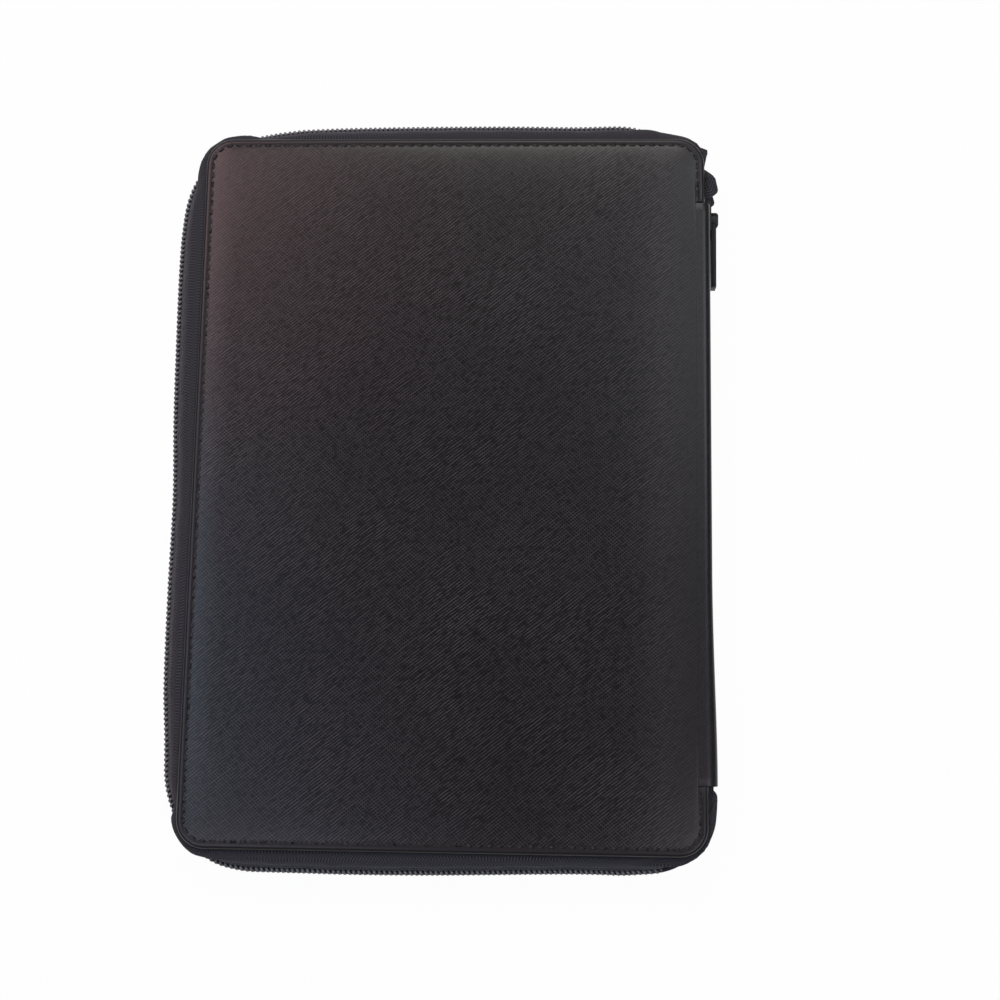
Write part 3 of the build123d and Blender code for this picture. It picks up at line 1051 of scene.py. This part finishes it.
def makeCoil(name, node, tapeSide, headSide, phase, body):
    # Flattened spiral of nylon round a cord, its heads between those of the other half
    sizes = coilSizes
    turns = int((chainLength - sizes["endGap"]) / sizes["pitch"]) - 1
    up = 1 if headSide > tapeSide else -1
    middle = (tapeSide + headSide) / 2
    half = abs(headSide - tapeSide) / 2 - sizes["wire"]
    wide = sizes["depth"] - sizes["wire"]

    def squared(value):
        return (1 if value >= 0 else -1) * abs(value) ** sizes["squareness"]

    points = []
    for step in range(turns * sizes["stepsPerTurn"] + 1):
        turn = step / sizes["stepsPerTurn"]
        spot, out = chainSpot((turn + phase) * sizes["pitch"])[2:]
        point = spot + out * wide * squared(sin(2 * pi * turn))
        point.z = middle - up * half * squared(cos(2 * pi * turn))
        points.append(point)
    coil = makeTube(name, points, sizes["wire"], sizes["sides"])
    finishPiece(coil, nylon, body, (node,), angle=80)
    line = []
    for step in range(sizes["cordSteps"] + 1):
        point = chainSpot(step / sizes["cordSteps"] * chainLength)[2]
        point.z = middle
        line.append(point)
    cord = makeTube(name + "Cord", line, sizes["core"], sizes["sides"])
    mapFlat(cord, lambda p: (p.x + p.y, p.z))
    finishPiece(cord, tapeCloth, body, angle=80)


makeCoil("backZipCoil", "back_zip_coil", backCoilHigh.z, backCoilLow.z, 0.75, "back_cover")
makeCoil("frontZipCoil", "front_zip_coil", frontCoilLow.z, frontCoilHigh.z, 0.25, "front_cover")
print("zip coils made")

tailSizes = {
    "cloth": 0.6 * mm,
    "gapAngle": radians(1.0),
    "slot": 3.4 * mm,
    "lengthSteps": 40,
    "widthSteps": 26,
}


def makeTail(name, node, end):
    # Tape ends of both halves sewn together, forked where the slider's post stands
    sizes = tailSizes
    low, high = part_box(node)
    inner = min(abs(low.y), abs(high.y))
    radius = chain[0][2]
    bend = (chainSizes["startAngle"] - sizes["gapAngle"]) * radius
    total = bend + zipCorner.y - inner

    def place(u, v):
        past = sizes["gapAngle"] * radius + u * total
        spot = chainSpot(chainLength + past if end < 0 else -past)[2]
        spot.z = low.z + v * (high.z - low.z)
        return spot

    tail = addGrid(name, sizes["lengthSteps"], sizes["widthSteps"], place)
    mapGrid(tail, total, high.z - low.z)
    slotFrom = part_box("slider_body")[0].y
    deleteFaces(tail, lambda c, n: abs(c.z - midHeight) < sizes["slot"] / 2 and abs(c.y) > slotFrom)
    useModifier(tail, "SOLIDIFY", thickness=sizes["cloth"], offset=0)
    finishPiece(tail, tapeCloth, "spine", (node,))


makeTail("topZipTail", "top_zip_tail", 1)
makeTail("bottomZipTail", "bottom_zip_tail", -1)

webSizes = {
    "nearest": 1.5 * mm,
    "farthest": 10.5 * mm,
    "overlap": 0.8 * mm,
    "tucked": 1.6 * mm,
    "cloth": 0.4 * mm,
    "lengthSteps": 16,
    "widthSteps": 10,
}


def makeWeb(name, node, end, seamLevel):
    # Cloth beside a tail, between the spine along one edge and a cover along the other
    sizes = webSizes
    low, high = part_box(node)
    up = 1 if seamLevel > midHeight else -1
    tailLevel = (high.z if up > 0 else low.z) - up * sizes["overlap"]
    span = sizes["farthest"] - sizes["nearest"]

    def place(u, v):
        past = sizes["nearest"] + u * span
        spot, out = chainSpot(chainLength + past if end < 0 else -past)[2:]
        spot.z = tailLevel + v * (seamLevel - tailLevel)
        return spot - out * sizes["tucked"] * v * v

    web = addCloth(name, sizes, place, span, abs(seamLevel - tailLevel))
    finishPiece(web, tapeCloth, None)
    blendToCover(web, up, (spineFace, 0, tailLevel), (spineFace, 0, seamLevel))


for place, node, end in (("top", "top_zip_tail", 1), ("bottom", "bottom_zip_tail", -1)):
    makeWeb(place + "BackWeb", node, end, backSeam)
    makeWeb(place + "FrontWeb", node, end, frontSeam)
print("zip tails made")

hardwareSizes = {"round": 0.22 * mm, "steps": 2, "flatWithin": radians(2), "sharpFrom": radians(30)}


def roundedCopy(node, name, body):
    # The CAD metal piece with its edges eased, as cast and tumbled
    sizes = hardwareSizes
    piece = addObject(name, frame["nodes"][node].data.copy())
    outwards(piece)
    startEdit(piece)
    bpy.ops.mesh.select_all(action="SELECT")
    bpy.ops.mesh.dissolve_limited(angle_limit=sizes["flatWithin"])
    endEdit()
    useModifier(
        piece,
        "BEVEL",
        width=sizes["round"],
        segments=sizes["steps"],
        limit_method="ANGLE",
        angle_limit=sizes["sharpFrom"],
    )
    finishPiece(piece, blackMetal, body, (node,))


roundedCopy("slider_body", "sliderBody", "slider")
roundedCopy("slider_crown", "sliderCrown", "slider")
roundedCopy("pull_tab", "pullTab", "pull")

knuckleSizes = {
    "radius": 1.5 * mm,
    "sides": 32,
    "fromCrown": 0.35 * mm,
    "proud": 0.05 * mm,
    "round": 0.3 * mm,
    "roundSteps": 3,
}


def addKnuckle(name, inner, outer):
    # Round end of the pull's arm, about the pin
    sizes = knuckleSizes
    pin = Vector(joints["pull_swing"]["pos_m"])
    deselectAll()
    bpy.ops.mesh.primitive_cylinder_add(
        vertices=sizes["sides"],
        radius=sizes["radius"],
        depth=abs(outer - inner),
        location=(pin.x, pin.y, (inner + outer) / 2),
    )
    knuckle = bpy.context.object
    knuckle.name = name
    bpy.ops.object.transform_apply(location=True, rotation=True, scale=True)
    roundEdges(knuckle, lambda a, b: near(a.z, b.z), sizes["round"], sizes["roundSteps"])
    finishPiece(knuckle, blackMetal, "pull")


crownLow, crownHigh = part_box("slider_crown")
pullLow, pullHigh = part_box("pull_tab")
fromCrown, proud = knuckleSizes["fromCrown"], knuckleSizes["proud"]
addKnuckle("pullKnuckleBack", crownHigh.z + fromCrown, pullHigh.z + proud)
addKnuckle("pullKnuckleFront", crownLow.z - fromCrown, pullLow.z - proud)
print("slider made")

liningSizes = {
    "corner": 12 * mm,
    "cornerSteps": 8,
    "edge": 0.15 * mm,
    "edgeSteps": 2,
    "spineRound": 0.5 * mm,
    "spineSteps": 4,
    "cloth": 0.4 * mm,
    "slack": 1.1 * mm,
    "strip": 4 * mm,
    "lengthSteps": 24,
    "widthSteps": 10,
    "gap": 0.1 * mm,
    "tuck": 0.3 * mm,
}


def makeLining(name, node, body):
    sizes = liningSizes
    low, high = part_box(node)
    high.x = min(high.x, backFold.x - coverSizes["foldStrip"])
    panel = addBlock(name, low, high)
    roundEdges(panel, lambda a, b: not near(a.z, b.z), sizes["corner"], sizes["cornerSteps"])
    roundEdges(panel, lambda a, b: near(a.z, b.z), sizes["edge"], sizes["edgeSteps"])
    mapFlat(panel, lambda p: (p.x, p.y))
    finishPiece(panel, lining, body, (node,))


def makeSpineLining():
    # Cloth over the spine's board
    sizes = liningSizes
    low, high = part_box("spine_lining")
    high.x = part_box("spine_board")[1].x
    panel = addBlock("spineLining", low, high)

    def onFace(a, b):
        return near(a.x, low.x) and near(b.x, low.x)

    roundEdges(panel, onFace, sizes["spineRound"], sizes["spineSteps"])
    mapFlat(panel, lambda p: (p.z, p.y))
    finishPiece(panel, lining, "spine", ("spine_lining", "spine_board"))
    return low, high


def makeFoldLining(name, node, up):
    # Loose cloth between cover and spine, bowed out with the slack that opening the real case takes up
    sizes = liningSizes
    level = sum(corner.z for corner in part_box(node)) / 2
    coverEnd = Vector((backFold.x - coverSizes["foldStrip"] - sizes["gap"], 0, level))
    spineTop = spineOuter.z if up > 0 else spineInner.z
    spineEnd = Vector((spineInner.x + sizes["tuck"], 0, spineTop - up * sizes["tuck"]))
    half = spineOuter.y
    aside = Vector((spineEnd.z - coverEnd.z, 0, coverEnd.x - spineEnd.x)).normalized()
    if aside.x > 0:
        aside = -aside

    def place(u, v):
        point = spineEnd.lerp(coverEnd, v) + aside * sizes["slack"] * sin(v * pi)
        point.y = (2 * u - 1) * half
        return point

    strip = addCloth(name, sizes, place, 2 * half, sizes["strip"])
    finishPiece(strip, lining, None)
    blendToCover(strip, up, spineEnd, coverEnd)


makeLining("backLining", "back_lining", "back_cover")
makeLining("frontLining", "front_lining", "front_cover")
spineInner, spineOuter = makeSpineLining()
makeFoldLining("backFoldLining", "back_lining", 1)
makeFoldLining("frontFoldLining", "front_lining", -1)
print("linings made")

pocketSizes = {
    "panel": 0.7 * mm,
    "cardPanel": 0.5 * mm,
    "welt": 2.0 * mm,
    "edge": 0.2 * mm,
    "corner": 2.0 * mm,
    "cornerSteps": 4,
    "seamCorner": 1.5 * mm,
    "seamFromMouth": 1.2 * mm,
    "hem": 5.0 * mm,
    "hemProud": 0.18 * mm,
    "hemSeam": 1.2 * mm,
    "hemSeamEnds": 0.6 * mm,
}


def makePocket(name, node, body, up, panel):
    # Panel sewn down along three sides, open at the top
    sizes = pocketSizes
    low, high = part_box(node)
    pocket = addBlock(name, low, high)

    def atFoot(a, b):
        return near(a.y, low.y) and near(b.y, low.y) and not near(a.z, b.z)

    roundEdges(pocket, atFoot, sizes["corner"], sizes["cornerSteps"])
    front = high.z if up > 0 else low.z
    behind = front - up * panel
    base = low.z if up > 0 else high.z
    mouthLow = (low.x + sizes["welt"], low.y + sizes["welt"], min(behind, base - up * mm))
    mouthHigh = (high.x - sizes["welt"], high.y + mm, max(behind, base - up * mm))
    cutOut(pocket, mouthLow, mouthHigh)
    roundEdges(pocket, lambda a, b: near(a.z, front) and near(b.z, front), sizes["edge"], 2)
    finishPiece(pocket, smoothLeather, body, (node,))
    inset = pocketSeam["inset"]
    left, right, foot = low.x + inset, high.x - inset, low.y + inset
    mouthEnd = high.y - sizes["seamFromMouth"]
    places = [(left, mouthEnd), (left, foot), (right, foot), (right, mouthEnd)]
    path = roundedPath(name + "Path", places, sizes["seamCorner"], front)
    sewAlong(name + "Stitches", path, up, pocketSeam, body)
    return low, high, front


def addHem(name, low, high, front, panel, body):
    # Edge of the panel folded over and sewn
    sizes = pocketSizes
    hem = addBlock(
        name + "Hem",
        (low.x, high.y - sizes["hem"], front - panel - sizes["hemProud"]),
        (high.x, high.y + sizes["hemProud"], front + sizes["hemProud"]),
    )
    roundEdges(hem, lambda a, b: near(a.y, b.y) and near(a.z, b.z), sizes["edge"], 3)
    finishPiece(hem, smoothLeather, body)
    line, inset = high.y - sizes["hem"] + sizes["hemSeam"], sizes["hemSeamEnds"]
    ends = [(low.x + inset, line), (high.x - inset, line)]
    path = roundedPath(name + "HemPath", ends, 0.0, front + sizes["hemProud"])
    sewAlong(name + "HemStitches", path, 1, pocketSeam, body)


def makeFrontPocket(name, node, panel):
    low, high, front = makePocket(name, node, "front_cover", 1, panel)
    addHem(name, low, high, front, panel, "front_cover")


makeFrontPocket("documentPocket", "document_pocket", pocketSizes["panel"])
for row in (1, 2, 3):
    makeFrontPocket(f"cardPocket{row}", f"card_pocket_{row}", pocketSizes["cardPanel"])
makePocket("padPocket", "pad_pocket", "back_cover", -1, pocketSizes["panel"])
print("pockets made")

padSizes = {
    "corner": 1.5 * mm,
    "cornerSteps": 4,
    "pitch": sheetPitch,
    "sheet": 0.075 * mm,
    "uneven": 0.07 * mm,
    "unevenTurns": (2.4, 1.7),
    "cloth": 0.28 * mm,
    "bend": 0.5 * mm,
    "lengthSteps": 40,
    "widthSteps": 60,
}


def makeNotepad():
    sizes = padSizes
    low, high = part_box("notepad_backing")
    backing = addBlock("notepadBacking", low, high)
    roundEdges(backing, lambda a, b: not near(a.z, b.z), sizes["corner"], sizes["cornerSteps"])
    finishPiece(backing, card, "back_cover", ("notepad_backing",))

    low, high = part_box("notepad_sheets")
    sheets = addBlock("notepadSheets", low, (high.x, high.y, low.z + sizes["sheet"]))
    repeat(sheets, (0, 0, sizes["pitch"]), count=round((high.z - low.z) / sizes["pitch"]))
    turnX, turnY = sizes["unevenTurns"]
    for vertex in sheets.data.vertices:
        layer = int((vertex.co.z - low.z) / sizes["pitch"])
        vertex.co.x += sizes["uneven"] * sin(layer * turnX)
        if vertex.co.y < 0:
            vertex.co.y += sizes["uneven"] * sin(layer * turnY)
    finishPiece(sheets, paper, "back_cover", ("notepad_sheets",))

    low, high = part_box("notepad_binding")
    tape, bend = sizes["cloth"], sizes["bend"]
    level, head = low.z + tape / 2, high.y - tape / 2
    across, arc, down = head - bend - low.y, bend * pi / 2, high.z - level - bend
    total = across + arc + down

    def place(u, v):
        run = v * total
        turn = min(max((run - across) / bend, 0.0), pi / 2)
        y = low.y + min(run, across) + bend * sin(turn)
        z = level + bend * (1 - cos(turn)) + max(run - across - arc, 0.0)
        return Vector((low.x + u * (high.x - low.x), y, z))

    binding = addCloth("notepadBinding", sizes, place, high.x - low.x, total)
    finishPiece(binding, bindingCloth, "back_cover", ("notepad_binding",))


penLoopSizes = {"round": 3.0 * mm, "roundSteps": 8, "wall": 1.0 * mm, "edge": 0.3 * mm, "mapRadius": 5 * mm}


def makePenLoop():
    # Tube of wide elastic, sewn down along its back
    sizes = penLoopSizes
    low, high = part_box("pen_loop")
    loop = addBlock("penLoop", low, high)
    roundEdges(loop, lambda a, b: not near(a.y, b.y), sizes["round"], sizes["roundSteps"])
    deleteFaces(loop, lambda c, n: abs(n.y) > 0.9)
    useModifier(loop, "SOLIDIFY", thickness=sizes["wall"], offset=-1)
    roundEdges(loop, lambda a, b: near(a.y, b.y) and near(abs(a.y), high.y), sizes["edge"], 2)
    middle = (low + high) / 2
    mapFlat(loop, lambda p: (p.y, atan2(p.z - middle.z, p.x - middle.x) * sizes["mapRadius"]))
    finishPiece(loop, elastic, "back_cover", ("pen_loop",))


makeNotepad()
makePenLoop()
print("notepad and pen loop made")

cameraSizes = {
    "place": (39.7 * mm, -82.3 * mm, 508.3 * mm),
    "turn": (radians(8.934), radians(2.297), radians(0.852)),
    "lens": 54.0,
    "sensor": 36.0,
    "nearest": 0.01,
}
bpy.ops.object.camera_add(location=cameraSizes["place"], rotation=cameraSizes["turn"])
camera = bpy.context.object
camera.data.lens = cameraSizes["lens"]
camera.data.sensor_width = cameraSizes["sensor"]
camera.data.clip_start = cameraSizes["nearest"]
bpy.context.scene.camera = camera

floorSizes = {"side": 4.0, "below": 2.2 * mm, "colour": (0.82, 0.82, 0.82, 1), "seen": 0.97}


def makeFloor():
    sizes = floorSizes
    deselectAll()
    bpy.ops.mesh.primitive_plane_add(size=sizes["side"], location=(0, 0, -sizes["below"]))
    floor = bpy.context.object
    floor.name = "floor"
    material, wire, shader = newMaterial("paleFloor", {"Base Color": sizes["colour"], "Roughness": 0.9})
    seen = wire.node("LightPath").most(wire.node("LightPath", out="Is Glossy Ray"))
    glow = wire.node("Emission", {}, {"Color": (1, 1, 1, 1), "Strength": 1.0})
    base = Wire(wire.tree, shader.outputs[0])
    mixed = wire.node("MixShader", {}, {0: seen * sizes["seen"], 1: base, 2: glow})
    wire.tree.links.new(mixed.socket, wire.tree.nodes["Material Output"].inputs["Surface"])
    floor.data.materials.append(material)


makeFloor()

softboxSide = 0.45
softboxes = [
    ("topSoftbox", (0.03, 0.87, 0.97), 4.4, (1.0, 0.97, 0.92)),
    ("warmSoftbox", (-0.54, 0.58, 1.0), 5.1, (1.0, 0.66, 0.68)),
    ("coolSoftbox", (-0.63, 0.05, 1.14), 2.8, (0.6, 0.76, 1.0)),
    ("footSoftbox", (-0.43, -0.43, 1.15), 2.4, (0.81, 0.83, 1.0)),
    ("sideSoftbox", (0.47, 0.39, 1.15), 3.1, (0.86, 0.95, 1.0)),
    ("lowSoftbox", (0.45, -0.41, 1.15), 2.6, (0.95, 0.88, 1.0)),
]
for name, place, power, colour in softboxes:
    bpy.ops.object.light_add(type="AREA", location=place)
    lamp = bpy.context.object
    lamp.name = name
    lamp.data.shape = "RECTANGLE"
    lamp.data.size = lamp.data.size_y = softboxSide
    lamp.data.energy = power
    lamp.data.color = colour
    lamp.rotation_euler = (-Vector(place)).to_track_quat("-Z", "Y").to_euler()

roomSizes = {"light": 0.03, "seen": 0.99}  # strength as light, and as the camera sees it past the floor
world = bpy.context.scene.world or bpy.data.worlds.new("studio")
bpy.context.scene.world = world
world.use_nodes = True
room = world.node_tree.nodes["Background"]
room.inputs["Color"].default_value = (1, 1, 1, 1)
inView = Wire(world.node_tree).node("LightPath")
strength = roomSizes["light"] + inView * (roomSizes["seen"] - roomSizes["light"])
world.node_tree.links.new(strength.socket, room.inputs["Strength"])
bpy.context.scene.view_settings.view_transform = "Standard"
print("camera and light set")
